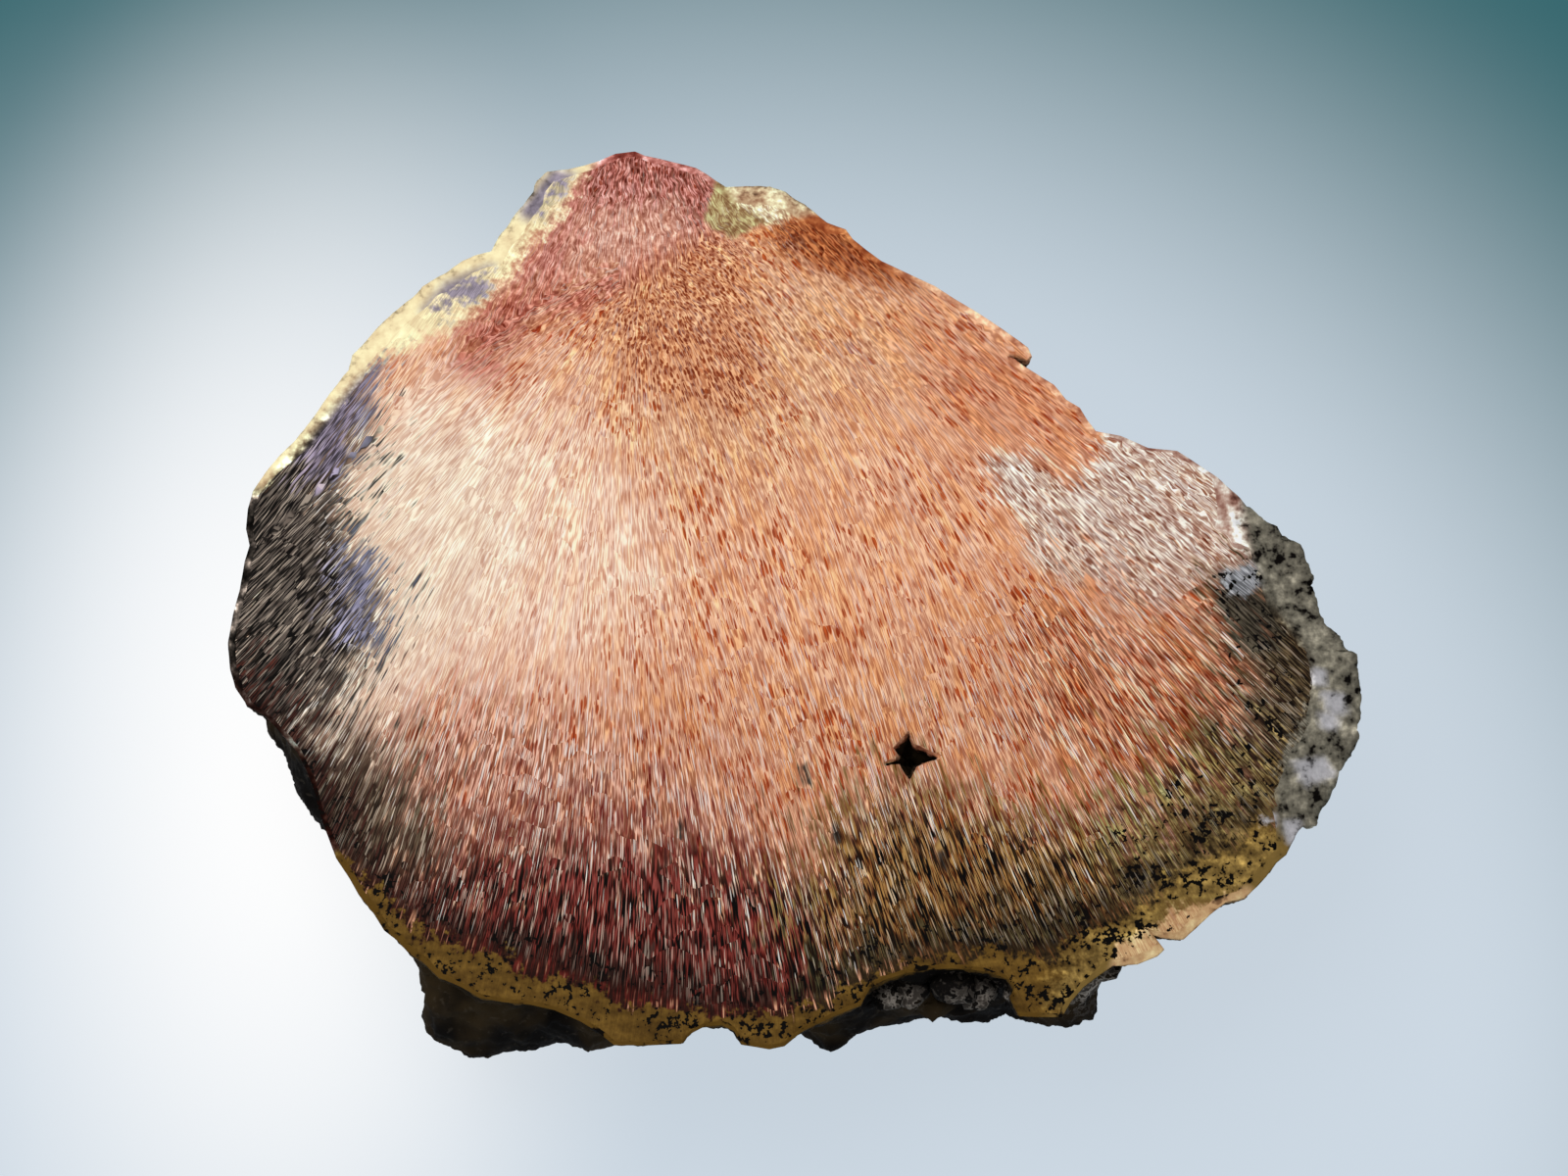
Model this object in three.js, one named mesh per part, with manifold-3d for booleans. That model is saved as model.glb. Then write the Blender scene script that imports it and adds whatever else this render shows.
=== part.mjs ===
// A hand-sized specimen of yuksporite: one piece of fibrous rock, sawn flat and polished on top,
// broken all round, with the saw's flat cut left underneath to stand on.
// Millimetres, +Z up. The polished face is on top and its tip points along +Y. The origin is in
// the middle of the stone's footprint, on the surface that the stone rests on.
import * as THREE from "three";
import { mergeVertices } from "three/addons/utils/BufferGeometryUtils.js";
import Module from "manifold-3d";

// Driving dimensions
const THICKNESS = 32; // from the sawn back to the polished face
const EDGE_STEP = 2.3; // the longest piece of edge between two points
const BEVEL_SLOPE = 0.36; // how far a broken margin drops for each millimetre of its width
const FLARE_DEPTH = 0.42; // the share of the thickness at which the sides stand out furthest
const TUCK = 9; // how far the sides turn in again at the back
const TUCK_START = 0.5; // the share of the thickness at which they begin to turn in
const CHIP_DEPTH = 0.3; // the share of the thickness over which the small chips of the edge fade
const CHIP_SMOOTHING = 4; // edge points on each side that the outline is averaged over below them
const PROFILE_SMOOTHING = 2; // the same for the change from one stretch of the edge to the next
const SIDE_LEVELS = [0.05, 0.11, 0.18, 0.25, 0.33, 0.41, 0.49, 0.57, 0.66, 0.75, 0.84, 0.92, 1];
const BEVEL_LEVELS = [1, 0.5, 0]; // shares of the margin's width, from the flat face outwards

// The broken sides are hollowed by scoops with sharp ridges between them: how far apart the
// scoops lie, and how deep they go
const SCOOPS = [
  { size: 15, depth: 3.6 },
  { size: 6.5, depth: 1.5 },
];
const RIDGE_HEIGHT = 1.2; // how far the ridges between the scoops stand out
const GRAIN = { size: 2.6, depth: 0.4 }; // the smallest roughness

// Flat chips struck off the lower sides: the compass direction that each one faces, how steeply
// it faces down, and how deep it bites into the side
const CHIPS = [
  { turn: 196, tilt: 38, depth: 4.5 },
  { turn: 228, tilt: 24, depth: 2.2 },
  { turn: 251, tilt: 47, depth: 5.5 },
  { turn: 283, tilt: 33, depth: 4 },
  { turn: 312, tilt: 52, depth: 6 },
  { turn: 338, tilt: 27, depth: 3.2 },
  { turn: 8, tilt: 42, depth: 5 },
  { turn: 37, tilt: 30, depth: 3.4 },
  { turn: 66, tilt: 49, depth: 5.5 },
  { turn: 104, tilt: 28, depth: 3.6 },
  { turn: 131, tilt: 44, depth: 5 },
  { turn: 158, tilt: 26, depth: 3 },
];

// The edge of the top, seen from above, in the order left, bottom, right, from the tip round.
// margin is how wide the broken margin beside the flat face is, and flare is how far the side
// below stands out, or is cut back where it is negative.
const EDGE = [
  {
    // the crimson tip
    margin: 0.8,
    flare: -1,
    points: [[-20.3, 59.4], [-22.8, 59.1], [-25, 58.1], [-26.8, 57.5], [-28.9, 57]],
  },
  {
    // the cream slope along the upper left
    margin: 2.3,
    flare: 1.5,
    points: [
      [-31.6, 56.8], [-32.9, 55.6], [-33.4, 54.2], [-34.8, 52.4], [-36.3, 50.1], [-37.8, 48.2],
      [-38.8, 46.2], [-40.5, 45.7], [-42.5, 45], [-44.5, 43.4], [-47.6, 41.5], [-48.5, 40.3],
      [-50.9, 38.3], [-52.5, 36.9], [-54.1, 35], [-56.5, 32.4], [-57, 30.5], [-59.3, 27.3],
      [-61.3, 24.3], [-63.6, 21.2], [-65.3, 19.5],
    ],
  },
  {
    // the dark left end
    margin: 0.9,
    flare: 0.6,
    points: [
      [-67.5, 16.8], [-69, 14.4], [-69.6, 12.1], [-69.8, 9.5], [-69.3, 7.3], [-69.9, 5.2],
      [-70.5, 1.5], [-71.3, -1.7], [-71.9, -5.4], [-71.6, -8.8], [-70.9, -11.2],
    ],
  },
  {
    // the start of the shadowed wall on the lower left
    margin: 0.6,
    flare: 2.2,
    points: [[-69.4, -13.4], [-66.9, -15], [-64.5, -17.6]],
  },
  {
    // the middle of the shadowed wall
    margin: 0.5,
    flare: 5,
    points: [[-62.9, -19.5], [-61.6, -22]],
  },
  {
    // the end of the shadowed wall
    margin: 0.5,
    flare: 2.2,
    points: [[-60.7, -24.4], [-60, -27.2]],
  },
  {
    // the ochre corner
    margin: 0.8,
    flare: -1.2,
    points: [
      [-59.1, -29.8], [-57.8, -33.2], [-56, -35.9], [-54.9, -37.9], [-52.9, -40.4],
      [-51.6, -42.5], [-49.9, -43.8], [-48.5, -45.4], [-46.7, -46.5],
    ],
  },
  {
    // the round lump below the lower left of the face
    margin: 0.5,
    flare: 8.4,
    points: [[-44.7, -48.5], [-41.9, -49.7], [-39.5, -51.1], [-36.4, -51.7]],
  },
  {
    // between the lump and the bottom edge
    margin: 0.5,
    flare: 3,
    points: [[-33.1, -52], [-30, -52.7], [-26.8, -54.1], [-24.5, -55.5]],
  },
  {
    // the bottom edge, which overhangs
    margin: 0.5,
    flare: -4.5,
    points: [
      [-22.4, -57.2], [-18, -57.2], [-14, -57], [-12.8, -55.7], [-11.1, -54.8], [-8.9, -54.6],
      [-7.3, -55.4], [-6.4, -57.1], [-2.9, -57.7], [-1, -57.3],
    ],
  },
  {
    // the start of the broken hollow in the bottom edge
    margin: 0.5,
    flare: 3.4,
    points: [[1.4, -55.3], [5.3, -53.5], [8.6, -52.1]],
  },
  {
    // the deep part of the hollow, with a lower ledge in front of it
    margin: 0.5,
    flare: 5.6,
    points: [
      [9.8, -49.9], [11.8, -48.8], [14.3, -48], [17.4, -47.5], [20, -47.4], [22.4, -47.5],
      [24.9, -47.9],
    ],
  },
  {
    // the ochre toe
    margin: 0.6,
    flare: 0.6,
    points: [
      [27.3, -48.8], [28.3, -50.3], [27.8, -51.7], [28.6, -53.5], [31.1, -53.6], [34, -53.6],
    ],
  },
  {
    // the grey ledge beside the toe
    margin: 0.5,
    flare: 3.8,
    points: [[35.1, -51.7], [36.8, -49.7], [38.9, -48.1]],
  },
  {
    // the two orange chips, with a slit between them
    margin: 1.2,
    flare: -1.6,
    points: [
      [40.5, -47], [43.6, -46.8], [46.1, -45.8], [47, -44.9], [46, -43.5], [45, -42.9],
      [46.8, -43.4], [49.4, -43.6], [50.8, -42.4], [52.8, -40.5], [54.9, -38.9],
    ],
  },
  {
    // the lower right
    margin: 1.4,
    flare: -3.5,
    points: [
      [57.3, -38.3], [58.8, -36.9], [60, -35.6], [61.3, -33.8], [62.6, -32.8], [63.5, -31.1],
      [64.3, -29.5],
    ],
  },
  {
    // the rough grey margin on the right
    margin: 6.5,
    flare: -3.2,
    points: [
      [64.9, -28.7], [66.6, -28.8], [67.1, -27.3], [68.1, -25.6], [68.8, -23.5], [69.4, -21.5],
      [70.8, -19.9], [72, -17.4], [71.6, -16.4], [72.1, -14.9], [72.6, -11.7], [72.3, -9.3],
      [71.8, -6.7], [70.9, -6.5], [69.4, -4], [67.9, -2.5], [67, -0.7], [66.6, 1.1], [66.1, 2.5],
      [66.6, 3.3], [65.3, 6.1], [64.8, 7.7], [62.6, 8.8], [61.5, 10.2], [59.5, 11.4],
    ],
  },
  {
    // the upper right edge, with a splinter that stands out over a notch
    margin: 0.8,
    flare: -2.8,
    points: [
      [57.4, 13.5], [54.5, 16.2], [51.6, 18.2], [49.3, 19.7], [45.6, 20.1], [42.1, 21.7],
      [38.9, 22.3], [37.8, 23.8], [36.9, 25.4], [35.1, 26.5], [33.6, 28.4], [31.6, 29.7],
      [29.7, 30.9], [28.5, 31.9], [28.1, 32.7], [29.4, 32.5], [30.8, 32.1], [30.3, 33.3],
      [28.9, 34.4], [27.1, 35.7], [23.9, 37.9], [21, 39.7], [18.3, 41.5], [13.5, 43.8],
      [11.5, 44.8], [9.5, 46.3], [7.8, 47.7], [6.9, 49], [4.5, 49.9],
    ],
  },
  {
    // the pale greenish crystal in the top edge
    margin: 2.6,
    flare: -2,
    points: [[2.8, 51.4], [0.9, 52.8], [-0.9, 54.1], [-2.9, 54.8], [-6, 54.8], [-8.6, 54.7]],
  },
  {
    // back to the tip
    margin: 0.9,
    flare: -1,
    points: [[-9.8, 55.5], [-11, 56.4], [-12.4, 57.2], [-14.7, 57.8], [-17, 58.4], [-19, 58.8]],
  },
];

// The pit in the polished face: a star-shaped opening that narrows as it goes down
const PIT = {
  centre: [15.6, -20],
  depth: 8,
  outline: [
    [-0.8, 3.2], [-0.1, 1.5], [1, 1], [2.2, 0.4], [3.4, 0], [3, -0.6], [1.4, -1], [0.2, -1.5],
    [-0.3, -2.5], [-0.7, -3.2], [-1.4, -2.3], [-2, -1.2], [-3.9, -1.4], [-4, -0.9], [-2.5, -0.5],
    [-2.3, 0.2], [-2.8, 1], [-2.1, 1.7],
  ],
  sizes: [1, 1, 0.82, 0.55, 0.2], // at equal steps from above the face down to the floor
};

// Crystals and knobs on the ledge of the broken hollow: place, radius and flattening
const KNOBS = [
  { at: [12.4, -49.9, 26.2], radius: 2.3, flat: 0.7 },
  { at: [15.4, -49, 25.4], radius: 2.6, flat: 0.7 },
  { at: [20.6, -48.4, 26.4], radius: 2.8, flat: 0.8 },
  { at: [23.6, -49, 24.8], radius: 2.4, flat: 0.9 },
  { at: [18, -49.2, 21.4], radius: 3.2, flat: 0.7 },
  { at: [39.2, -45.4, 26], radius: 3.3, flat: 0.7 },
  { at: [36.4, -47, 25], radius: 3, flat: 0.8 },
];

const lerp = THREE.MathUtils.lerp;
const smoothstep = THREE.MathUtils.smoothstep;

// A repeatable number from 0 to 1 for each whole-numbered place
function hash(x, y, z) {
  const s = Math.sin(x * 127.1 + y * 311.7 + z * 74.7) * 43758.5453;
  return s - Math.floor(s);
}

// Noise from -1 to 1 that is straight between its lattice points, so it breaks into flat facets
function facets(x, y, z) {
  const [i, j, k] = [Math.floor(x), Math.floor(y), Math.floor(z)];
  const [u, v, w] = [x - i, y - j, z - k];
  const along = (b, c) => lerp(hash(i, b, c), hash(i + 1, b, c), u);
  const across = (c) => lerp(along(j, c), along(j + 1, c), v);
  return 2 * lerp(across(k), across(k + 1), w) - 1;
}

// How deep scoops about one apart bite at a point: 0 on the ridges, up to 1 in their middles
function scooped(x, y, z) {
  const [i, j, k] = [x, y, z].map(Math.floor);
  let nearest = Infinity;
  for (const a of [i - 1, i, i + 1]) {
    for (const b of [j - 1, j, j + 1]) {
      for (const c of [k - 1, k, k + 1]) {
        const [u, v, w] = [hash(a, b, c), hash(b, c, a), hash(c, a, b)];
        nearest = Math.min(nearest, Math.hypot(x - a - u, y - b - v, z - c - w));
      }
    }
  }
  return Math.max(0, 1 - nearest ** 2);
}

// How far the broken surface stands in or out at a point
function breaks(p) {
  const rough = GRAIN.depth * facets(p.x / GRAIN.size, p.y / GRAIN.size, p.z / GRAIN.size);
  return SCOOPS.reduce((out, { size, depth }, n) => {
    const [x, y, z] = [p.x, p.y, p.z].map((value) => value / size + 17.3 * (n + 1));
    return out - depth * scooped(x, y, z);
  }, RIDGE_HEIGHT + rough);
}

// Averages of a closed list over some neighbours on each side
function averaged(values, reach, value) {
  return values.map((_, i) => {
    let sum = 0;
    for (let k = -reach; k <= reach; k++) {
      sum += value(values[(i + k + values.length) % values.length]);
    }
    return sum / (2 * reach + 1);
  });
}

// The edge as a closed list of points at most EDGE_STEP apart, each with its margin and flare
function edgePoints() {
  const corners = EDGE.flatMap(({ margin, flare, points }) =>
    points.map(([x, y]) => ({ x, y, margin, flare })),
  );
  const fine = corners.flatMap((a, i) => {
    const b = corners[(i + 1) % corners.length];
    const steps = Math.ceil(Math.hypot(b.x - a.x, b.y - a.y) / EDGE_STEP);
    return Array.from({ length: steps }, (_, n) => ({
      ...a,
      x: lerp(a.x, b.x, n / steps),
      y: lerp(a.y, b.y, n / steps),
    }));
  });
  const margins = averaged(fine, PROFILE_SMOOTHING, (p) => p.margin);
  const flares = averaged(fine, PROFILE_SMOOTHING, (p) => p.flare);
  const lowX = averaged(fine, CHIP_SMOOTHING, (p) => p.x);
  const lowY = averaged(fine, CHIP_SMOOTHING, (p) => p.y);
  return fine.map(({ x, y }, i) => ({
    top: new THREE.Vector2(x, y),
    low: new THREE.Vector2(lowX[i], lowY[i]),
    margin: margins[i],
    flare: flares[i],
  }));
}

// A point moved outwards from the stone's middle
function movedOut(p, distance) {
  return p.clone().setLength(p.length() + distance);
}

// One ring of the broken margin, at a share of its width in from the edge
function marginRing(edge, share) {
  return edge.map(({ top, margin }) => {
    const { x, y } = movedOut(top, -margin * share);
    const drop = margin * BEVEL_SLOPE * (1 - share);
    const lift = share < 1 ? Math.min(drop * 0.4, 0.7) * facets(x / 2.3, y / 2.3, 5) : 0;
    return new THREE.Vector3(x, y, THICKNESS - drop + lift);
  });
}

// One ring of the side, at a share of the way down to the back
function sideRing(edge, share) {
  const chips = 1 - smoothstep(share, 0, CHIP_DEPTH);
  const out = smoothstep(share, 0, FLARE_DEPTH);
  const tuck = TUCK * smoothstep(share, TUCK_START, 1.05) ** 1.6;
  const rough = smoothstep(share, 0, 0.16) * (1 - smoothstep(share, 0.93, 1));
  return edge.map(({ top, low, margin, flare }) => {
    const wall = low.clone().lerp(top, chips);
    const { x, y } = movedOut(wall, flare * out - tuck);
    const z = (THICKNESS - margin * BEVEL_SLOPE) * (1 - share);
    const p = new THREE.Vector3(x, y, z);
    const push = breaks(p) * rough;
    const outwards = new THREE.Vector3(x, y, 0).normalize();
    p.addScaledVector(outwards, push);
    if (share < 1) p.z += 0.5 * push;
    return p;
  });
}

// A closed geometry through rings of equally many points, with a flat cap on the first and last
function loft(rings) {
  const count = rings[0].length;
  const places = rings.flat().flatMap((p) => [p.x, p.y, p.z]);
  const faces = [];
  for (let r = 0; r < rings.length - 1; r++) {
    for (let i = 0; i < count; i++) {
      const j = (i + 1) % count;
      const [a, b] = [r * count + i, r * count + j];
      const [c, d] = [a + count, b + count];
      // each small panel is split along its shorter diagonal
      const across = rings[r][i].distanceTo(rings[r + 1][j]);
      const back = rings[r][j].distanceTo(rings[r + 1][i]);
      faces.push(...(across < back ? [a, c, d, a, d, b] : [a, c, b, b, c, d]));
    }
  }
  const flat = (ring) => ring.map((p) => new THREE.Vector2(p.x, p.y));
  const cap = (ring) => THREE.ShapeUtils.triangulateShape(flat(ring), []);
  const last = (rings.length - 1) * count;
  cap(rings[0]).forEach(([a, b, c]) => faces.push(a, b, c));
  cap(rings[rings.length - 1]).forEach(([a, b, c]) => faces.push(last + c, last + b, last + a));
  return new THREE.BufferGeometry()
    .setAttribute("position", new THREE.Float32BufferAttribute(places, 3))
    .setIndex(faces);
}

const wasm = await Module();
wasm.setup();

// A closed three.js geometry as a manifold-3d solid
function solid(geometry) {
  const bare = geometry.clone();
  bare.deleteAttribute("normal");
  bare.deleteAttribute("uv");
  const merged = mergeVertices(bare, 1e-4);
  return new wasm.Manifold(
    new wasm.Mesh({
      numProp: 3,
      vertProperties: merged.attributes.position.array,
      triVerts: new Uint32Array(merged.index.array),
    }),
  );
}

// A manifold-3d solid as a three.js geometry with flat faces
function geometryOf(made) {
  const { numProp, vertProperties, triVerts } = made.getMesh();
  const places = [];
  for (const v of triVerts) places.push(...vertProperties.subarray(v * numProp, v * numProp + 3));
  const geometry = new THREE.BufferGeometry();
  geometry.setAttribute("position", new THREE.Float32BufferAttribute(places, 3));
  geometry.computeVertexNormals();
  return geometry;
}

// The stone without its pit and knobs
function roughStone() {
  const edge = edgePoints();
  return solid(
    loft([
      ...BEVEL_LEVELS.map((share) => marginRing(edge, share)),
      ...SIDE_LEVELS.map((share) => sideRing(edge, share)),
    ]),
  );
}

// The hole that the pit leaves, as a solid to cut with
function pitCutter() {
  const [cx, cy] = PIT.centre;
  const steps = PIT.sizes.length - 1;
  const rings = PIT.sizes.map((size, n) =>
    PIT.outline.map(([x, y]) => {
      const z = lerp(THICKNESS + 2, THICKNESS - PIT.depth, n / steps);
      return new THREE.Vector3(cx + x * size, cy + y * size, z);
    }),
  );
  return solid(loft(rings.map((ring) => [...ring].reverse())));
}

// One knob: a blunt crystal with few sides, turned a little differently each time
function knob({ at, radius, flat }, n) {
  const geometry = new THREE.IcosahedronGeometry(radius, 0);
  const place = geometry.attributes.position;
  for (let i = 0; i < place.count; i++) {
    const p = new THREE.Vector3().fromBufferAttribute(place, i);
    p.multiplyScalar(1.05 + 0.3 * facets(p.x * 0.9 + n * 3.1, p.y * 0.9, p.z * 0.9));
    place.setXYZ(i, p.x, p.y, p.z * flat);
  }
  geometry.rotateZ(n * 1.7).rotateX(0.3 * Math.sin(n * 2.3)).translate(...at);
  return solid(geometry);
}

// The stone with one flat chip struck off: all that lies beyond a plane near its furthest point
function chipped(whole, { turn, tilt, depth }) {
  const round = THREE.MathUtils.degToRad(turn);
  const down = THREE.MathUtils.degToRad(tilt);
  const level = Math.cos(down);
  const facing = [level * Math.cos(round), level * Math.sin(round), -Math.sin(down)];
  const { numProp, vertProperties } = whole.getMesh();
  let reach = -Infinity;
  for (let i = 0; i < vertProperties.length; i += numProp) {
    const [x, y, z] = vertProperties.subarray(i, i + 3);
    reach = Math.max(reach, facing[0] * x + facing[1] * y + facing[2] * z);
  }
  return whole.trimByPlane(facing.map((n) => -n), depth - reach);
}

let stone = CHIPS.reduce(chipped, roughStone()).subtract(pitCutter());
KNOBS.forEach((k, n) => {
  stone = stone.add(knob(k, n));
});

// The origin goes to the middle of the footprint, at the height of the sawn back
const geometry = geometryOf(stone);
geometry.computeBoundingBox();
const middle = geometry.boundingBox.getCenter(new THREE.Vector3());
geometry.translate(-middle.x, -middle.y, -geometry.boundingBox.min.z);

const stoneMaterial = new THREE.MeshStandardMaterial({
  name: "yuksporite",
  color: new THREE.Color("#c89878"),
  roughness: 0.45,
  metalness: 0,
});
const stoneMesh = new THREE.Mesh(geometry, stoneMaterial);
stoneMesh.name = "stone";

const specimen = new THREE.Group();
specimen.add(stoneMesh);
export default specimen;
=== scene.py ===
import math

import bpy
import numpy as np
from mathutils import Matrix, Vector, geometry, kdtree, noise


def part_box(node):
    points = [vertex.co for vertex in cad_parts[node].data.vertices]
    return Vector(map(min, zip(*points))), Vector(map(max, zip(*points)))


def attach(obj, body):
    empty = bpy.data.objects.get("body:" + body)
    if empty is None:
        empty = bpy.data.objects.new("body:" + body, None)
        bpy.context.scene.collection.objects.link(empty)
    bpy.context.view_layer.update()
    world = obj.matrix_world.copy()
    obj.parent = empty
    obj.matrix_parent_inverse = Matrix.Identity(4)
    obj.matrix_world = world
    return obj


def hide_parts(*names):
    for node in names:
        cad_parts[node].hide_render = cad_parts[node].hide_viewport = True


MM = 0.001
# The drawings below are in millimetres, looking down on the polished face. This is where the
# part's own origin lies in them.
ORIGIN = (0.3, 0.85)

# The camera
CAMERA_ANGLE = 78  # degrees above the horizon
CAMERA_DISTANCE = 1.0
CAMERA_LENS = 180
LOOKED_AT = (-1.1, 1.7)  # the spot of the face in the middle of the picture

# The surface
FACE_STEP = 0.8  # between the points of the polished face
BACK_STEP = 3.0  # between the points of the sawn back
SAME_HEIGHT = 1e-3  # heights closer than this count as the same
SIDE_CUTS = 2  # how often the triangles of the sides are halved
ROW_SPACING = 0.87  # between the rows of new points, in steps
EDGE_GAP = 0.45  # between the new points and the edge, in steps
RIM_CHIPS = 0.3  # how far the edge of the face is nibbled
RIM_CHIP_SIZE = 0.9
CRUSTS = [(5.0, 0.55), (1.7, 0.3), (0.7, 0.16)]  # size and height of the side's roughness
CRUST_SINK = 0.4  # how far the rough sides are set back, so that the bumps reach the solid
CRUST_START = 2.5  # the depth below the face at which the roughness is full
CRUST_END = 0.8  # the height above the back at which it is full

# The fibres
FIBRE_WIDTH = 0.27  # a streak is about this wide when it splits in two
ROOT_FLECKS = 12  # the flecks get shorter within about this distance of a fan's root
ROOT = -4  # where the main fan's own root lies, along its fibres
TIP_FOCUS = (-20, 74)  # the fibres of the tip fan out downwards from here
TIP_ROOT = 8  # the tip's fibres start beyond this distance from the focus
TIP_FIBRES = 8  # in a radian of the tip's fan, as wide as the gaps between two guides
TIP_FIRST = 40  # their numbers start beyond those of the main fan
TIP_REACH = 1.2  # fibres further than this from the main fan belong to the tip
FELT_EDGE = 4  # the felt fades over this distance on both sides of its outlines
# Within these outlines the fibres are felted together, wholly or in part
FELTED = [
    {
        "share": 1.0,
        "outline": [
            (-44, 32), (-40, 42), (-30, 58), (-20, 64), (-6, 58), (4, 54), (-2, 46), (-8, 38),
            (-16, 31), (-24, 32), (-32, 34),
        ],
    },
    {"share": 0.5, "outline": [(33, 22), (48, 27), (64, 14), (60, 4), (49, 4), (38, 9)]},
]

# The flecks along the fibres: cells in a fibre's width and in a millimetre of its length, a shift
# of their own, the share of cells that hold a fleck, and its size
SPECKS = [(0.8, 0.55, 61.0, 0.75, 0.46)]
RUST = [(0.6, 0.28, 3.1, 0.32, 0.42), (0.9, 0.45, 9.7, 0.3, 0.42)]
GAPS = [(0.7, 0.16, 21.3, 0.5, 0.45)]
# Pale needles: partly real white needles, partly painted glints of light along the fibres
NEEDLES_AND_GLINTS = [(1.0, 0.11, 33.9, 0.16, 0.36), (1.7, 0.3, 47.1, 0.22, 0.42)]

# The tints of the marks on the face, and the colours that the areas don't give
PINK = (1.05, 1.16, 1.34)  # for the cooler bundles of fibres
ORANGE = (0.97, 0.82, 0.62)  # for the warmer ones
SPECK = (0.42, 0.18, 0.10)
RUSTY = (0.56, 0.19, 0.08)
# the needles' colour, partly a painted glint
NEEDLE_GLINT = (0.93, 0.76, 0.60)
BLACK = (0.002, 0.0013, 0.001)
RIM_BLACK = (0.004, 0.003, 0.0025)
# the sides' own dark rock, darkened to nearly black by painted shade
SIDE_ROCK_AND_SHADE = (0.006, 0.005, 0.0045)
SIDE_BROWN = (0.032, 0.021, 0.010)
SIDE_GRAIN = (0.16, 0.13, 0.10)
GEM_DARK = (0.05, 0.042, 0.036)
GEM_PALE = (0.42, 0.37, 0.32)

# How strongly the patterns make the stone lighter and darker, in stops
BUNDLE_STOPS = 1.1
CRUMB_STOPS = 4.0
BAND_STOPS = 4.5
RIM_STOPS = 8.0
# the needles: a paler copy of the area's colour, partly a painted glint
NEEDLE_GLINT_STOPS = 2.2
STOP_SHARES = {"Red": 0.65, "Green": 1.05, "Blue": 1.15}  # so that darker places are redder
RELIEF = 0.25
SHEEN = 0.03

# The bake map: where each part of the stone lies in it, and how large
MAP_FACE = {"at": (0.005, 0.005), "size": 0.84}
MAP_BACK = {"at": (0.01, 0.73), "size": 0.26}
MAP_SIDES = {"at": (0.02, 0.995), "size": (0.94, 0.06)}

# Pale crystals on the ledges of the broken hollow: where they are and how large
GEMS = [
    ((12.4, -50.5, 26.5), 1.6),
    ((14.8, -50.2, 25.5), 2.0),
    ((20.9, -49.6, 26.4), 2.2),
    ((23.8, -50.0, 25.0), 2.4),
    ((27.0, -51.0, 27.0), 1.8),
    ((38.5, -48.5, 25.0), 5.0),
]

# The main fan: fibres drawn from the root outwards, from the left edge round to the right one
GUIDES = [
    [(-23, 44), (-33, 38.5), (-45, 29), (-58, 16.5), (-74, 1)],
    [(-23, 42.5), (-32, 36), (-42, 26), (-54, 12), (-66, -1), (-75, -11)],
    [(-22.7, 41), (-30, 34), (-39, 22), (-50, 8), (-62, -7), (-73, -21)],
    [(-22.3, 40), (-28, 32), (-35, 19), (-43, 2), (-51, -15), (-61, -38)],
    [(-21.8, 39.3), (-25.5, 31), (-31, 17), (-37, -1), (-43, -20), (-53, -56)],
    [(-21, 39), (-23.5, 30), (-26.3, 15), (-29, -4), (-32, -23), (-40.5, -61)],
    [(-20.3, 38.8), (-21.5, 30), (-21.7, 14), (-21, -5), (-20, -24), (-22, -62)],
    [(-19.6, 38.8), (-19.5, 30), (-17.5, 14), (-14, -5), (-10.5, -24), (-6, -62)],
    [(-18.8, 39), (-17, 30), (-13, 14), (-8, -4), (-3, -22), (7, -62)],
    [(-17.8, 39.6), (-14.3, 32), (-9, 17), (-3, -2), (3, -20), (15, -61)],
    [(-16.6, 40.6), (-11, 33), (-5, 20), (1, 2), (7.5, -16), (24, -62)],
    [(-14, 43), (-8.5, 38), (0, 26), (7, 8), (14, -10), (35, -60)],
    [(-11, 46.5), (-4, 40), (4, 28), (12, 12), (20, -6), (43, -58)],
    [(-7, 50.5), (2, 41), (11, 29), (21, 15), (31, 0), (60, -46)],
    [(-2.5, 54), (11, 38), (25, 24), (38, 10), (51, -4), (77, -30)],
    [(5, 56), (19, 40), (34, 27), (49, 14), (62, 1), (84, -23)],
]
GUIDE_SAMPLES = 300
GUIDE_STEPS = 20  # samples between neighbouring guides

# The room, in metres
# The floor glows instead of being lit, and carries a painted pool of light and painted shade
FLOOR_GLOW = 1.02
FLOOR_MATTE = 0.12  # the share of the floor that takes the stone's shadow
FLOOR_MIDDLE = {"at": (-0.007, -0.058), "size": (1.0, 1.0)}
FLOOR_SHADE_FADE = (0.090, 0.186)  # the floor darkens between these distances from its middle
FLOOR_LIGHT_POOL = {"at": (-0.067, -0.015), "size": (0.058, 0.121)}
FLOOR_PALE = (0.61, 0.69, 0.77)
FLOOR_SHADE = (0.04, 0.14, 0.16)
LAMP = {"at": (-0.35, 0.3, 0.95), "size": 0.7, "power": 7.2}
SKY = 0.42
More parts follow.
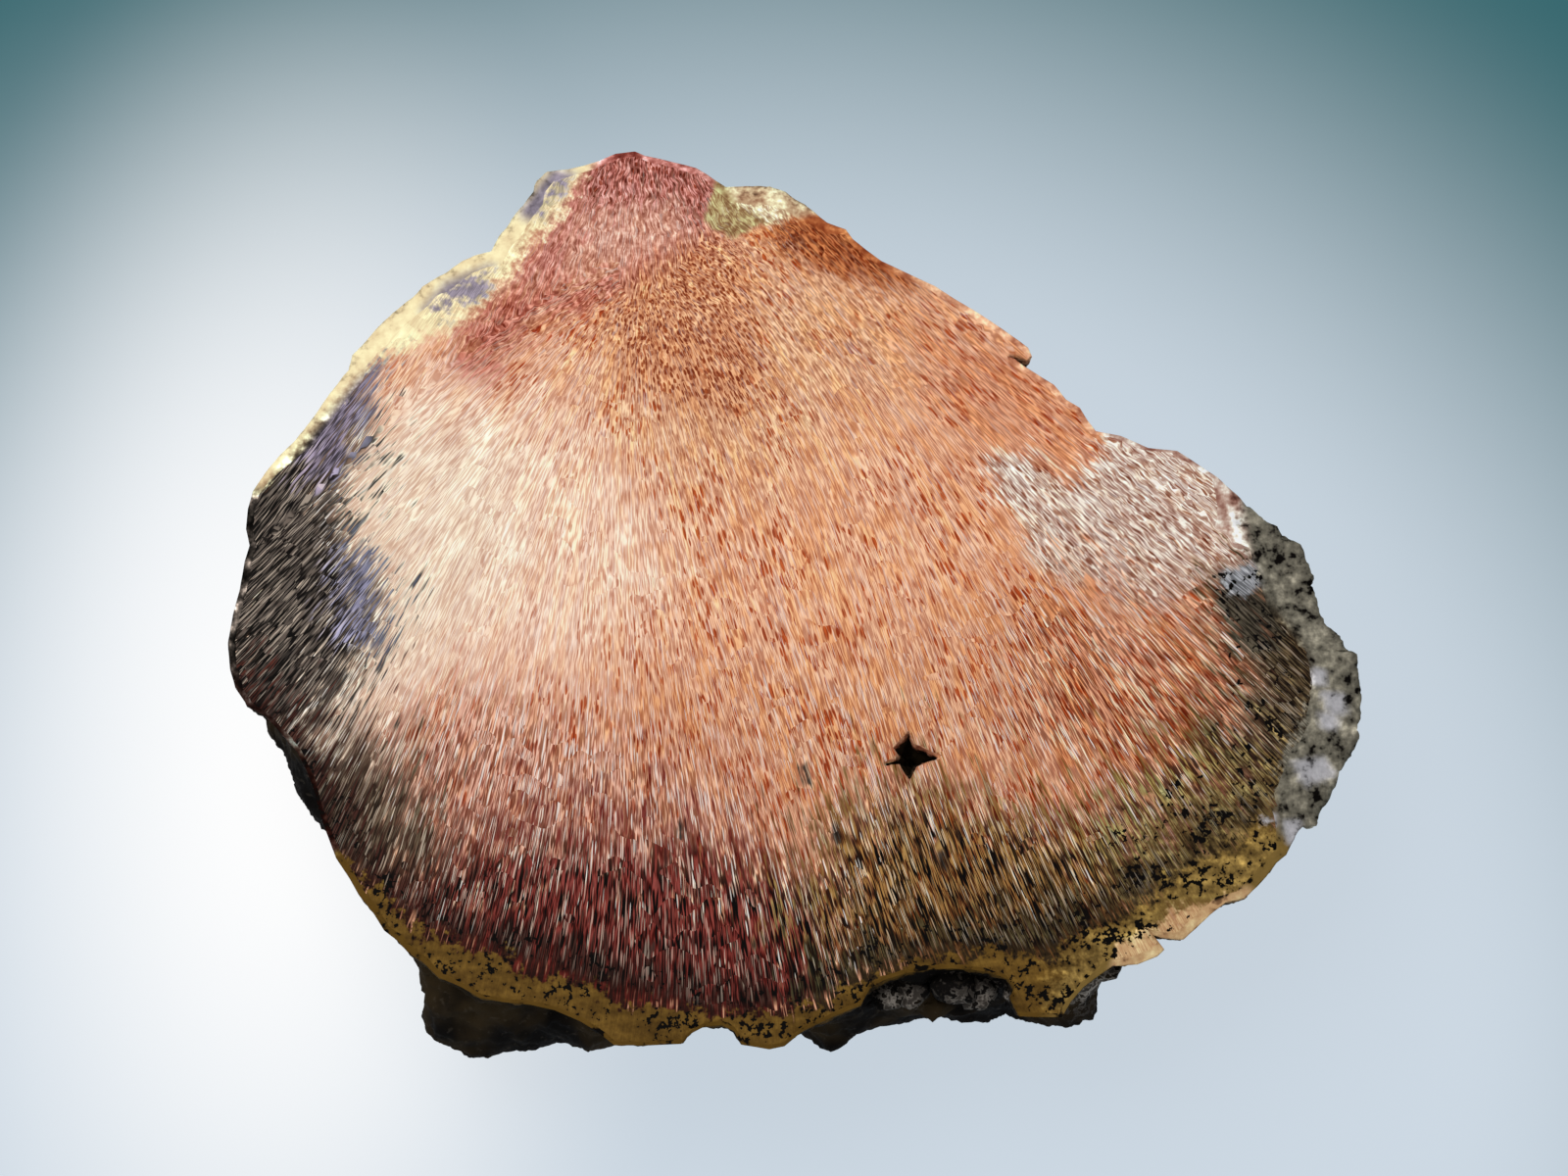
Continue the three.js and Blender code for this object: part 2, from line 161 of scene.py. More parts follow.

# The colours of the face, painted one over the other. Each area has its outlines, how far its
# edge fades (soft), how far streaks break it up (ragged), its colour, and its marks. The edge of
# an area of rock is broken up by blots instead. Grey is how far its light and dark streaks keep
# the area's own tint, instead of turning paler and redder.
# The marks are how much it shows of: rusty flecks, white needles with painted glints of light,
# black gaps between the fibres, short brown specks, black dots, and the contrast of its light and
# dark streaks.
MARKS = ("rust", "needles_and_glints", "gaps", "specks", "dots", "streaks")
ROCK_REACH = 0.25  # the marks of rock reach out by this share of how ragged it is
SALMON = (0.80, 0.415, 0.25)
SALMON_MARKS = (1.0, 0.35, 0.05, 0.2, 0.0, 0.5)
AREAS = {
    "cream_left": {
        "outlines": [[
            (-64, 18), (-62, 26), (-54, 30), (-45, 31), (-33, 28), (-24, 24), (-18, 16), (-16, 5),
            (-19, -6), (-28, -13), (-38, -17), (-48, -26), (-58, -32), (-68, -14), (-66, 0),
        ]],
        "soft": 9, "ragged": 5,
        "colour": (0.905, 0.61, 0.455), "marks": (0.5, 0.4, 0.03, 0.05, 0, 0.4),
    },
    "cream_core": {
        "outlines": [[
            (-62, 14), (-58, 22), (-50, 25.5), (-42.5, 25), (-35, 20), (-34, 7.5), (-41, -5),
            (-48, -14), (-58, -24), (-66, -14), (-62, 0),
        ]],
        "soft": 7, "ragged": 4,
        "colour": (0.87, 0.68, 0.52), "marks": (0.15, 0.4, 0.03, 0.05, 0, 0.33),
    },
    "orange_top": {
        "outlines": [[
            (-23, 36), (-10, 46), (4, 48), (20, 38), (24, 30), (8, 27), (-4, 16), (-15, 16),
            (-24, 26),
        ]],
        "soft": 9, "ragged": 6,
        "colour": (0.78, 0.44, 0.255), "marks": (0.9, 0.3, 0, 0.7, 0, 0.5),
    },
    "pink_tip": {
        "outlines": [[
            (-38, 40.5), (-31.5, 49), (-27.5, 58), (-20, 62), (-8, 56), (-9, 48), (-14, 45),
            (-21.5, 43), (-26.5, 42.5), (-31.5, 40.5),
        ]],
        "soft": 2.5, "ragged": 3,
        "colour": (0.68, 0.345, 0.255), "marks": (0.3, 0.3, 0, 0.6, 0, 0.6),
    },
    "crimson_tip": {
        "outlines": [[
            (-28.5, 52), (-27.5, 61), (-20, 62), (-12, 60), (-8, 54.5), (-9, 48), (-12, 48),
            (-14, 52), (-19, 53), (-24, 52),
        ]],
        "soft": 3, "ragged": 5,
        "colour": (0.50, 0.17, 0.14), "marks": (0.3, 0.15, 0.3, 1.2, 0, 1),
    },
    "crimson_side": {
        "outlines": [[(-35, 42), (-32.5, 47), (-29, 54), (-27, 53), (-28.5, 47), (-30.5, 42.5)]],
        "soft": 2, "ragged": 4,
        "colour": (0.56, 0.21, 0.165), "marks": (0.3, 0.1, 0, 0.7, 0, 0.7),
    },
    "maroon_arc": {
        "outlines": [[
            (-43.5, 31), (-42, 36.5), (-38.5, 40.5), (-33, 41.5), (-26.5, 42), (-20, 44),
            (-14, 46.5), (-11, 48), (-9.5, 46.5), (-14, 44), (-19.5, 41), (-25, 38.5), (-31.5, 37),
            (-36, 33.5), (-39, 29.5),
        ]],
        "soft": 3, "ragged": 5,
        "colour": (0.50, 0.16, 0.115), "marks": (0.4, 0.2, 0, 1, 0, 0.8),
    },
    "brown_root": {
        "outlines": [[
            (-24, 36), (-20, 41), (-14, 45), (-11, 47), (-6.5, 47), (-6.3, 42), (-5, 36),
            (-4.2, 29), (-8, 24), (-14, 26), (-21.5, 30),
        ]],
        "soft": 2.5, "ragged": 3,
        "colour": (0.66, 0.30, 0.155), "marks": (0.5, 0.2, 0, 1.5, 0, 0.6),
    },
    "brown_edge": {
        "outlines": [[
            (-2.8, 50.4), (2, 53), (8, 50), (14, 44), (17, 41), (12.5, 41), (8.5, 42.2), (3, 43.8),
            (-2, 46.5),
        ]],
        "soft": 2, "ragged": 4,
        "colour": (0.46, 0.135, 0.045), "marks": (0.4, 0.1, 0.35, 1.3, 0, 0.7),
    },
    "rust_right": {
        "outlines": [[
            (16, 36), (30, 33), (37, 26), (40.5, 21), (39, 17.5), (36, 16), (34, 17), (31.5, 19.5),
            (24.5, 20), (19, 25),
        ]],
        "soft": 6, "ragged": 8,
        "colour": (0.66, 0.28, 0.153), "marks": (1, 0.2, 0.05, 0.3, 0, 0.6),
    },
    "red_middle": {
        "outlines": [[
            (-22, -11), (-5, -9), (12, -6), (26, -2), (37, -8), (38, -22), (24, -29), (6, -28),
            (-10, -25), (-22, -21),
        ]],
        "soft": 9, "ragged": 8,
        "colour": (0.67, 0.325, 0.19), "marks": (1.3, 0.6, 0.1, 0.1, 0, 0.7),
    },
    "pale": {
        "outlines": [[
            (24.5, 19), (29.5, 18.7), (31, 19.5), (32.5, 18), (34, 16), (36, 15.5), (38, 17),
            (39.5, 18), (40, 23.5), (48.5, 23), (63, 12.5), (62, 6.5), (59.5, 3.5), (58, 0.5),
            (54.5, 1.5), (52.5, 2.5), (49, 0), (46.5, -3.5), (43, -1.5), (39, 1.5), (35, 2),
            (32, 3.5), (30.5, 6), (29.5, 10.5), (26, 14.5),
        ]],
        "soft": 0.5, "ragged": 3,
        "colour": (0.70, 0.54, 0.45), "marks": (0.4, 0.6, 0.1, 1, 0, 0.75),
    },
    "pink_low": {
        "outlines": [[
            (-51.5, -16), (-42.5, -12), (-26.5, -16), (-6.5, -25), (-1.5, -36), (-14, -44),
            (-31.5, -41), (-47.5, -36), (-54, -26),
        ]],
        "soft": 6, "ragged": 18,
        "colour": (0.55, 0.245, 0.17), "marks": (0.8, 0.9, 0.35, 0.1, 0, 1.1),
    },
    "red_right": {
        "outlines": [[
            (29, -0.5), (38.5, 0), (46, -3), (54, 0.5), (61, 0), (62, -8), (60, -19), (50, -26),
            (38, -24), (28, -16),
        ]],
        "soft": 6, "ragged": 15,
        "colour": (0.54, 0.21, 0.115), "marks": (1.8, 1, 0.4, 0.2, 0, 1),
    },
    "maroon_low": {
        "outlines": [[
            (-56, -29), (-45, -32), (-26.5, -31), (-11.5, -33), (6, -36), (10, -44), (9, -66),
            (-50, -66), (-66, -42),
        ]],
        "soft": 5, "ragged": 19,
        "colour": (0.115, 0.014, 0.010), "marks": (0.3, 1, 1, 0, 0, 1.8),
    },
    "olive_low": {
        "outlines": [[
            (5, -29), (15, -24), (23.5, -27), (36, -29), (46, -23), (53, -16), (62, -17), (80, -22),
            (70, -66), (7, -66), (4, -42.5),
        ]],
        "soft": 5, "ragged": 16, "grey": 0.4,
        "colour": (0.150, 0.064, 0.020), "marks": (0.8, 0.95, 1, 0.4, 0.1, 1.8),
    },
    "olive_right": {
        "outlines": [[
            (53.5, 2), (58, 4), (62, 13), (72, 9), (79, -6), (78, -28), (63.5, -35), (55.5, -26),
            (54.5, -18), (56.5, -10.5), (55.5, -4),
        ]],
        "soft": 4, "ragged": 8, "grey": 0.8,
        "colour": (0.05, 0.033, 0.017), "marks": (0.2, 0.6, 0.7, 0.5, 0.5, 1.6),
    },
    "dark_pocket": {
        "outlines": [[(54.6, 1.2), (58.2, 2), (61.5, 0.5), (61.5, -5), (57.5, -6.5), (55.5, -2.5)]],
        "soft": 1, "ragged": 3, "grey": 1.0,
        "colour": (0.035, 0.028, 0.019), "marks": (0, 0.15, 0.4, 0, 0.4, 1),
    },
    "grey_crystal": {
        "outlines": [[(54.5, 3.6), (58.5, 5), (60.4, 3), (58, 0.6), (55.8, 1.2)]],
        "soft": 0.6, "ragged": 1.5, "edge": "rock", "grey": 1.0,
        "colour": (0.21, 0.215, 0.23), "marks": (0, 0.3, 0.1, 0, 0.2, 0.7),
    },
    "speckled_low": {
        "outlines": [[(42, -30), (50, -25), (60, -21), (66, -27), (60, -36), (50, -41), (40, -42)]],
        "soft": 4, "ragged": 11, "grey": 0.6,
        "colour": (0.20, 0.135, 0.05), "marks": (0.1, 0.25, 0.4, 0.6, 0.9, 0.6),
    },
    "grey_spots": {
        "outlines": [
            [(0.9, -21.4), (1.8, -21), (2.3, -23.6), (1.6, -24)],
            [(4.8, -28.8), (5.6, -28.8), (6, -31), (5.2, -31.2)],
            [(-14.6, -28.2), (-14, -28.2), (-13.8, -30.6), (-14.6, -30.8)],
            [(18.2, -32.6), (19, -32.6), (19.6, -34.8), (18.8, -35)],
        ],
        "soft": 0.4, "ragged": 0.8, "grey": 1.0,
        "colour": (0.02, 0.015, 0.012), "marks": (0, 0.2, 0.6, 0, 0, 1.2),
    },
    "left_low": {
        "outlines": [[
            (-71.5, -9.5), (-62, -16), (-54, -18), (-47, -24), (-46, -33), (-54, -40), (-68, -34),
            (-76, -15.5),
        ]],
        "soft": 6, "ragged": 10, "grey": 0.7,
        "colour": (0.065, 0.042, 0.026), "marks": (0.1, 0.8, 0.7, 0.2, 0, 1.4),
    },
    "left_dark": {
        "outlines": [[
            (-66, 24), (-60, 28), (-55.5, 25.5), (-55, 21.5), (-57, 17), (-58.5, 12.5), (-57, 7.5),
            (-53, 2), (-53, -4), (-56, -10.5), (-60, -15.5), (-67, -20.5), (-76, -13), (-76, 7.5),
            (-73, 15),
        ]],
        "soft": 3, "ragged": 10, "grey": 1.0,
        "colour": (0.036, 0.029, 0.024), "marks": (0.1, 1, 0.9, 0.2, 0, 1.9),
    },
    "indigo_mid": {
        "outlines": [[(-57, 6), (-54, 5.5), (-52.5, 0), (-54, -5), (-57, -3)]],
        "soft": 2.5, "ragged": 5, "grey": 1.0,
        "colour": (0.12, 0.115, 0.165), "marks": (0, 0.4, 0.4, 0, 0, 1),
    },
    "indigo_top": {
        "outlines": [[
            (-52.5, 32), (-54.5, 32.5), (-58, 28), (-61, 23), (-62, 17), (-58.5, 17), (-56.5, 22),
            (-54.5, 27),
        ]],
        "soft": 2, "ragged": 4, "grey": 1.0,
        "colour": (0.15, 0.125, 0.17), "marks": (0, 0.2, 0.4, 0.2, 0, 1),
    },
    "cream_rim": {
        "outlines": [[
            (-26.5, 60), (-27, 56.5), (-28.5, 54.5), (-30, 51), (-32.5, 48), (-34.5, 46.5),
            (-36, 43), (-39, 40.5), (-42.5, 37), (-47, 34.5), (-51, 32.8), (-53.5, 31.8),
            (-56.5, 30), (-60, 25.5), (-64.5, 20), (-68, 15.5), (-73, 16), (-62, 32), (-50, 46),
            (-40, 54), (-34, 60),
        ]],
        "soft": 1.2, "ragged": 3.5, "edge": "rock",
        "colour": (0.90, 0.76, 0.45), "marks": (0, 0.05, 0, 0.05, 0.05, 0.12),
    },
    "purple_stain": {
        "outlines": [[
            (-46.5, 38), (-44, 41), (-39, 43), (-38.3, 41.7), (-42, 39.5), (-45, 37.2),
        ], [
            (-34, 51.5), (-30.5, 56), (-29, 55.5), (-32, 50.5),
        ]],
        "soft": 1.2, "ragged": 5, "edge": "rock", "grey": 1.0,
        "colour": (0.27, 0.23, 0.28), "marks": (0, 0, 0, 0, 0, 0.3),
    },
    "dark_ends": {
        "outlines": [[
            (-57, -31), (-50, -37), (-36.5, -43), (-20, -47.8), (-6, -50.3), (4, -48.8),
            (10, -45.5), (14, -68), (-50, -68), (-68, -44),
        ], [
            (-74, -8), (-68.5, -12), (-63.5, -16), (-59.5, -21), (-56.5, -27), (-54.5, -33),
            (-57, -42), (-76, -30),
        ]],
        "soft": 3, "ragged": 11, "grey": 0.2,
        "colour": (0.022, 0.006, 0.004), "marks": (0.2, 0.3, 1, 0, 0.5, 1.6),
    },
    "olive_ends": {
        "outlines": [[
            (4, -48), (10, -44.5), (24, -42), (38, -39), (50, -32.5), (60, -26), (74, -40),
            (60, -68), (4, -68),
        ]],
        "soft": 3, "ragged": 11, "grey": 0.5,
        "colour": (0.026, 0.015, 0.006), "marks": (0.2, 0.45, 1, 0, 0.6, 1.6),
    },
    "ochre_rim": {
        "outlines": [[
            (-57, -34), (-51.5, -39.5), (-46.5, -43), (-36.5, -46.5), (-26.5, -50), (-16.5, -52.5),
            (-6.5, -54), (5, -52), (9.5, -49), (16, -46.5), (25, -45.5), (31, -46.5), (37.5, -43.5),
            (45, -39), (52.5, -34), (60, -28.5), (64, -27.5), (68, -36), (48.5, -52), (23.5, -62),
            (-14, -64), (-49, -52), (-61, -38.5),
        ]],
        "soft": 0.7, "ragged": 6, "edge": "rock", "grey": 0.8,
        "colour": (0.105, 0.055, 0.010), "marks": (0, 0, 0, 0, 0.45, 0.1),
    },
    "ochre_right": {
        "outlines": [[
            (33, -47), (40, -43), (48, -37), (56, -31), (66, -27), (68, -36), (52, -50), (34, -56),
        ]],
        "soft": 2, "ragged": 5, "edge": "rock", "grey": 0.9,
        "colour": (0.20, 0.125, 0.034), "marks": (0, 0, 0, 0, 0.8, 0.1),
    },
    "crystal": {
        "outlines": [[
            (-11.5, 50.5), (-9.5, 56), (-2.5, 57), (3.5, 53), (-2.5, 50), (-4, 49.5), (-8, 47.5),
            (-10.5, 49.5),
        ]],
        "soft": 0.4, "ragged": 0.8, "edge": "rock",
        "colour": (0.41, 0.28, 0.125), "marks": (0, 0.3, 0.1, 0.1, 0, 0.6),
    },
    "crystal_light": {
        "outlines": [[(-6.5, 52), (-9, 57), (3, 57), (3.5, 52), (-2.5, 50), (-4, 50.5)]],
        "soft": 0.8, "ragged": 1.8, "edge": "rock",
        "colour": (0.73, 0.575, 0.355), "marks": (0, 0.4, 0.1, 0.1, 0.05, 0.6),
    },
    "grey_margin": {
        "outlines": [[
            (58.5, 12.5), (67, 13), (76, -3), (76, -18), (67, -33), (62.5, -29.5), (61.8, -23),
            (62.8, -19.5), (66.6, -13), (67, -9), (65.6, -4.5), (60.8, 2), (59.2, 7),
        ]],
        "soft": 0.8, "ragged": 4, "edge": "rock", "grey": 1.0,
        "colour": (0.165, 0.15, 0.115), "marks": (0, 0, 0, 0.2, 0.4, 0.6),
    },
    "quartz": {
        "outlines": [
            [(66.4, -9), (67.6, -9.2), (67.4, -10.6), (66.4, -10.4)],
            [(67.8, -12), (70, -12.2), (70.2, -14), (68.6, -14.4)],
            [(67.4, -14.8), (69, -14.8), (68.8, -16.2), (67.6, -16.2)],
            [(64, -21), (67.4, -20.4), (68.4, -22), (65.2, -23.4)],
            [(59.5, -27.8), (61, -27.8), (61, -28.8), (59.5, -28.7)],
            [(62.6, -28.6), (64.2, -28.4), (64.4, -31), (63, -31)],
        ],
        "soft": 0.5, "ragged": 1.5, "edge": "rock", "grey": 1.0,
        "colour": (0.42, 0.41, 0.43), "marks": (0, 0, 0, 0, 0.25, 0.2),
    },
    "chips": {
        "outlines": [[
            (46, -43.2), (47.5, -39.5), (53.5, -39), (57.5, -37.5), (54, -42), (48, -46.5),
            (44, -48.5), (40.5, -48), (41.5, -44.5), (45, -43),
        ]],
        "soft": 0.6, "ragged": 2.5, "edge": "rock",
        "colour": (0.60, 0.38, 0.19), "marks": (0, 0.05, 0, 0, 0.2, 0.3),
    },
}


def fade(x, low, high):
    """0 below low, 1 above high, and smooth between."""
    t = np.clip((x - low) / (high - low), 0, 1)
    return t * t * (3 - 2 * t)


def outline_distance(points, outline):
    """How far inside an outline each point lies, in millimetres, and below 0 outside it."""
    shape = np.array(outline, float)
    nearest = np.full(len(points), 1e9)
    inside = np.zeros(len(points), bool)
    x, y = points.T
    for (ax, ay), (bx, by) in zip(shape, np.roll(shape, -1, axis=0)):
        ex, ey = bx - ax, by - ay
        along = np.clip(((x - ax) * ex + (y - ay) * ey) / (ex * ex + ey * ey), 0, 1)
        nearest = np.minimum(nearest, np.hypot(x - ax - along * ex, y - ay - along * ey))
        if ay != by:
            crosses = (ay > y) != (by > y)
            inside ^= crosses & (x < ax + (y - ay) * ex / ey)
    return np.where(inside, nearest, -nearest)


# The fine surface


def merged_surface(node):
    """The points in millimetres and the triangles of a CAD node, shared points merged."""
    mesh = node.data
    mesh.calc_loop_triangles()
    places = np.array([v.co for v in mesh.vertices]) / MM
    triangles = np.array([t.vertices for t in mesh.loop_triangles])
    unique, where = np.unique(np.round(places, 4), axis=0, return_inverse=True)
    triangles = where.reshape(-1)[triangles]
    whole = (triangles != np.roll(triangles, 1, axis=1)).all(axis=1)
    return unique, triangles[whole]


def on_level(places, triangles, level):
    """Which triangles lie flat at a height."""
    return (np.abs(places[triangles][:, :, 2] - level) < SAME_HEIGHT).all(axis=1)


def halved(places, triangles):
    """Every triangle cut into four at the middles of its edges."""
    edges = np.concatenate([triangles[:, [0, 1]], triangles[:, [1, 2]], triangles[:, [2, 0]]])
    unique, where = np.unique(np.sort(edges, axis=1), axis=0, return_inverse=True)
    ab, bc, ca = len(places) + where.reshape(3, -1)
    a, b, c = triangles.T
    parts = [(a, ab, ca), (ab, b, bc), (ca, bc, c), (ab, bc, ca)]
    middles = places[unique].mean(axis=1)
    return np.concatenate([places, middles]), np.concatenate([np.stack(p, 1) for p in parts])


def open_loops(triangles):
    """The closed runs of edges that only one triangle uses."""
    directed = np.concatenate([triangles[:, [0, 1]], triangles[:, [1, 2]], triangles[:, [2, 0]]])
    there = set(map(tuple, directed))
    after = {b: a for a, b in there if (b, a) not in there}
    loops = []
    while after:
        start, here = after.popitem()
        loop = [start]
        while here != start:
            loop.append(here)
            here = after.pop(here)
        loops.append(loop)
    return loops


def normals_of(places, triangles):
    """The outward direction at each point."""
    a, b, c = places[triangles].transpose(1, 0, 2)
    facing = np.cross(b - a, c - a)
    total = np.zeros_like(places)
    for corner in triangles.T:
        np.add.at(total, corner, facing)
    return total / np.maximum(np.linalg.norm(total, axis=1, keepdims=True), 1e-12)


def crust(place):
    """The height of the broken rock's roughness at a place, in millimetres."""
    height = 0
    for size, depth in CRUSTS:
        sharp = 1 - 2 * abs(noise.noise(Vector(place) / size + Vector((size, 0, 0))))
        height += depth * sharp
    return height


def roughen(places, triangles, top):
    """Broken rock on the sides, fading out towards the face and the back, inside their own box."""
    low, high = places.min(axis=0), places.max(axis=0)
    depth = top - places[:, 2]
    share = fade(depth, 0, CRUST_START) * fade(places[:, 2], 0, CRUST_END)
    heights = np.array([crust(p) for p in places]) - CRUST_SINK
    rough = places + normals_of(places, triangles) * (heights * share)[:, None]
    rim = depth < SAME_HEIGHT
    nibbles = np.array([noise.noise(Vector(p) / RIM_CHIP_SIZE) for p in places[rim]])
    inwards = -places[rim] * (1, 1, 0)
    inwards /= np.linalg.norm(inwards, axis=1, keepdims=True)
    rough[rim] += inwards * (RIM_CHIPS * np.maximum(nibbles, 0))[:, None]
    return np.clip(rough, low, high)


def lattice(low, high, step):
    """Points of a box, in rows that are shifted by half a step in turn."""
    rows = np.arange(low[1], high[1], step * ROW_SPACING)
    columns = np.arange(low[0], high[0], step)
    x, y = np.meshgrid(columns, rows)
    x = x + (np.arange(len(rows)) % 2)[:, None] * step / 2
    return np.stack([x.ravel(), y.ravel()], 1)


def filled(places, loops, step):
    """Flat triangles between loops of existing points, with new points about step apart."""
    rings = [places[loop, :2] for loop in loops]
    rings.sort(key=lambda r: -np.ptp(r[:, 0]))
    outer, *holes = rings
    inner = lattice(outer.min(axis=0), outer.max(axis=0), step)
    inner = inner[outline_distance(inner, outer) > step * EDGE_GAP]
    for hole in holes:
        inner = inner[outline_distance(inner, hole) < -step * EDGE_GAP]
    known = [i for loop in loops for i in loop]
    flat = [Vector(p) for p in np.concatenate([places[known, :2], inner])]
    edges = []
    for loop in loops:
        first, size = len(edges), len(loop)
        edges += [(first + i, first + (i + 1) % size) for i in range(size)]
    points, _, faces, sources, _, _ = geometry.delaunay_2d_cdt(flat, edges, [], 1, 1e-7)
    level = places[known[0], 2]
    added = np.array([(p.x, p.y, level) for p in points])
    number = len(places) + np.arange(len(added))
    for i, source in enumerate(sources):
        if source and source[0] < len(known):
            number[i] = known[source[0]]
    faces = np.array(faces)
    for hole in holes:
        centres = added[faces][:, :, :2].mean(axis=1)
        faces = faces[outline_distance(centres, hole) < 0]
    return np.concatenate([places, added]), number[faces]


def facing(triangles, places, up):
    """The triangles turned so that they all face up, or all down."""
    a, b, c = places[triangles][:, :, :2].transpose(1, 0, 2)
    ab, ac = b - a, c - a
    turned = (ab[:, 0] * ac[:, 1] - ab[:, 1] * ac[:, 0] > 0) != up
    triangles[turned] = triangles[turned][:, ::-1]
    return triangles


def fine_surface(node):
    """Points and triangles of the fine stone, and which triangles are face, back and side."""
    places, triangles = merged_surface(node)
    top = places[:, 2].max()
    flat = on_level(places, triangles, top) | on_level(places, triangles, 0)
    sides = triangles[~flat]
    for _ in range(SIDE_CUTS):
        places, sides = halved(places, sides)
    places = roughen(places, sides, top)
    loops = open_loops(sides)
    upper = [loop for loop in loops if abs(places[loop[0], 2] - top) < SAME_HEIGHT]
    lower = [loop for loop in loops if abs(places[loop[0], 2]) < SAME_HEIGHT]
    places, face = filled(places, upper, FACE_STEP)
    places, back = filled(places, lower, BACK_STEP)
    face = facing(face, places, True)
    back = facing(back, places, False)
    triangles = np.concatenate([face, back, sides])
    kinds = np.repeat([0, 1, 2], [len(face), len(back), len(sides)])
    used, triangles = np.unique(triangles, return_inverse=True)
    return places[used], triangles.reshape(-1, 3), kinds


# The fibres' own coordinates


def smooth_curve(points, count):
    """A smooth curve through about these points, evenly sampled from the first to the last."""
    line = np.array(points, float)
    steps = np.linalg.norm(np.diff(line, axis=0), axis=1)
    share = np.concatenate([[0], np.cumsum(steps)]) / steps.sum()
    where = np.linspace(0, 1, count)
    return np.stack([np.polyval(np.polyfit(share, axis, 3), where) for axis in line.T], 1)


def between(rows, steps):
    """Extra rows between the given ones, on smooth curves across them."""
    padded = np.concatenate([2 * rows[:1] - rows[1:2], rows, 2 * rows[-1:] - rows[-2:-1]])
    made = []
    for i in range(1, len(padded) - 2):
        p0, p1, p2, p3 = padded[i - 1 : i + 3]
        for t in np.arange(steps) / steps:
            made.append(
                0.5 * (2 * p1 + (p2 - p0) * t + (2 * p0 - 5 * p1 + 4 * p2 - p3) * t * t)
                + 0.5 * (3 * p1 - p0 - 3 * p2 + p3) * t**3
            )
    return np.array(made + [rows[-1]])


def main_fan(points):
    """Across, along, spread and distance from the main fan, at each point of the drawing."""
    guides = np.array([smooth_curve(g, GUIDE_SAMPLES) for g in GUIDES])
    grid = between(guides, GUIDE_STEPS)
    across, along = np.gradient(grid, axis=(0, 1))
    length = np.cumsum(np.linalg.norm(along, axis=2), axis=1)
    tree = kdtree.KDTree(grid.shape[0] * grid.shape[1])
    for i, (x, y) in enumerate(grid.reshape(-1, 2)):
        tree.insert((x, y, 0), i)
    tree.balance()
    found = [tree.find((x, y, 0)) for x, y in points]
    row, column = np.divmod([f[1] for f in found], GUIDE_SAMPLES)
    off = points - grid[row, column]
    a, b = across[row, column], along[row, column]
    turn = a[:, 0] * b[:, 1] - a[:, 1] * b[:, 0]
    da = (off[:, 0] * b[:, 1] - off[:, 1] * b[:, 0]) / turn
    db = (a[:, 0] * off[:, 1] - a[:, 1] * off[:, 0]) / turn
    u = (row + np.clip(da, -1, 1)) / GUIDE_STEPS
    v = length[row, column] + np.clip(db, -1, 1) * np.linalg.norm(b, axis=1)
    spread = np.abs(turn) / np.linalg.norm(b, axis=1) * GUIDE_STEPS
    return u, v, spread, np.array([f[2] for f in found])


def tip_fan(points):
    """Across, along and spread of the tip's fibres."""
    dx, dy = (points - TIP_FOCUS).T
    radius = np.hypot(dx, dy)
    return TIP_FIRST + np.arctan2(dx, -dy) * TIP_FIBRES, radius, radius / TIP_FIBRES


def crowded(along, root):
    """The length along a fibre, stretched near the root, so that flecks come out shorter there."""
    return along + ROOT_FLECKS * np.log(along - root)


def fibre_coordinates(points, triangles):
    """Across, along and fineness for each corner of each triangle."""
    u, v, spread, away = main_fan(points)
    tip_u, tip_v, tip_spread = tip_fan(points)
    tip = (away[triangles] > TIP_REACH).any(axis=1)[:, None]
    across = np.where(tip, tip_u[triangles], u[triangles])
    along = np.where(tip, crowded(tip_v, TIP_ROOT)[triangles], crowded(v, ROOT)[triangles])
    spread = np.where(tip, tip_spread[triangles], spread[triangles])
    fineness = np.log2(np.maximum(spread / FIBRE_WIDTH, 1))
    return across, along, fineness


# The stone


def bake_map(places, triangles, kinds):
    """A map with the face in one large piece, and the back and the sides in strips beside it."""
    low, high = places.min(axis=0), places.max(axis=0)
    corners = places[triangles]
    flat = (corners[:, :, :2] - low[:2]) / (high[0] - low[0])
    face = flat * MAP_FACE["size"] + MAP_FACE["at"]
    back = flat * MAP_BACK["size"] + MAP_BACK["at"]
    middle = (low + high)[:2] / 2
    away = corners[:, :, :2] - middle
    turn = np.arctan2(away[:, :, 1], away[:, :, 0]) / math.tau
    turn -= np.round(turn - turn[:, :1])
    down = (corners[:, :, 2] - high[2]) / high[2]
    side = np.stack([turn + 0.5, down], 2) * MAP_SIDES["size"] + MAP_SIDES["at"]
    uv = np.where((kinds == 0)[:, None, None], face, back)
    return np.where((kinds == 2)[:, None, None], side, uv)


def add_values(mesh, name, domain, values):
    """A number for each point or each corner, under a name that the materials read."""
    layer = mesh.attributes.new(name, "FLOAT", domain)
    layer.data.foreach_set("value", np.ascontiguousarray(values, np.float32).ravel())


def add_vectors(mesh, name, values):
    """Three numbers for each point, under a name that the materials read."""
    layer = mesh.attributes.new(name, "FLOAT_VECTOR", "POINT")
    layer.data.foreach_set("vector", values.astype(np.float32).ravel())


def blended_areas(distances):
    """Colour, marks and grey at each point, where every area fades evenly into those below it."""
    values = np.array(SALMON + SALMON_MARKS + (0.0,))
    for name, area in AREAS.items():
        reach = area["ragged"] * ROCK_REACH if area.get("edge") == "rock" else 0
        share = fade(distances[name] + reach, -area["soft"], area["soft"])[:, None]
        own = np.array(area["colour"] + area["marks"] + (area.get("grey", 0.0),))
        values = values + share * (own - values)
    return values


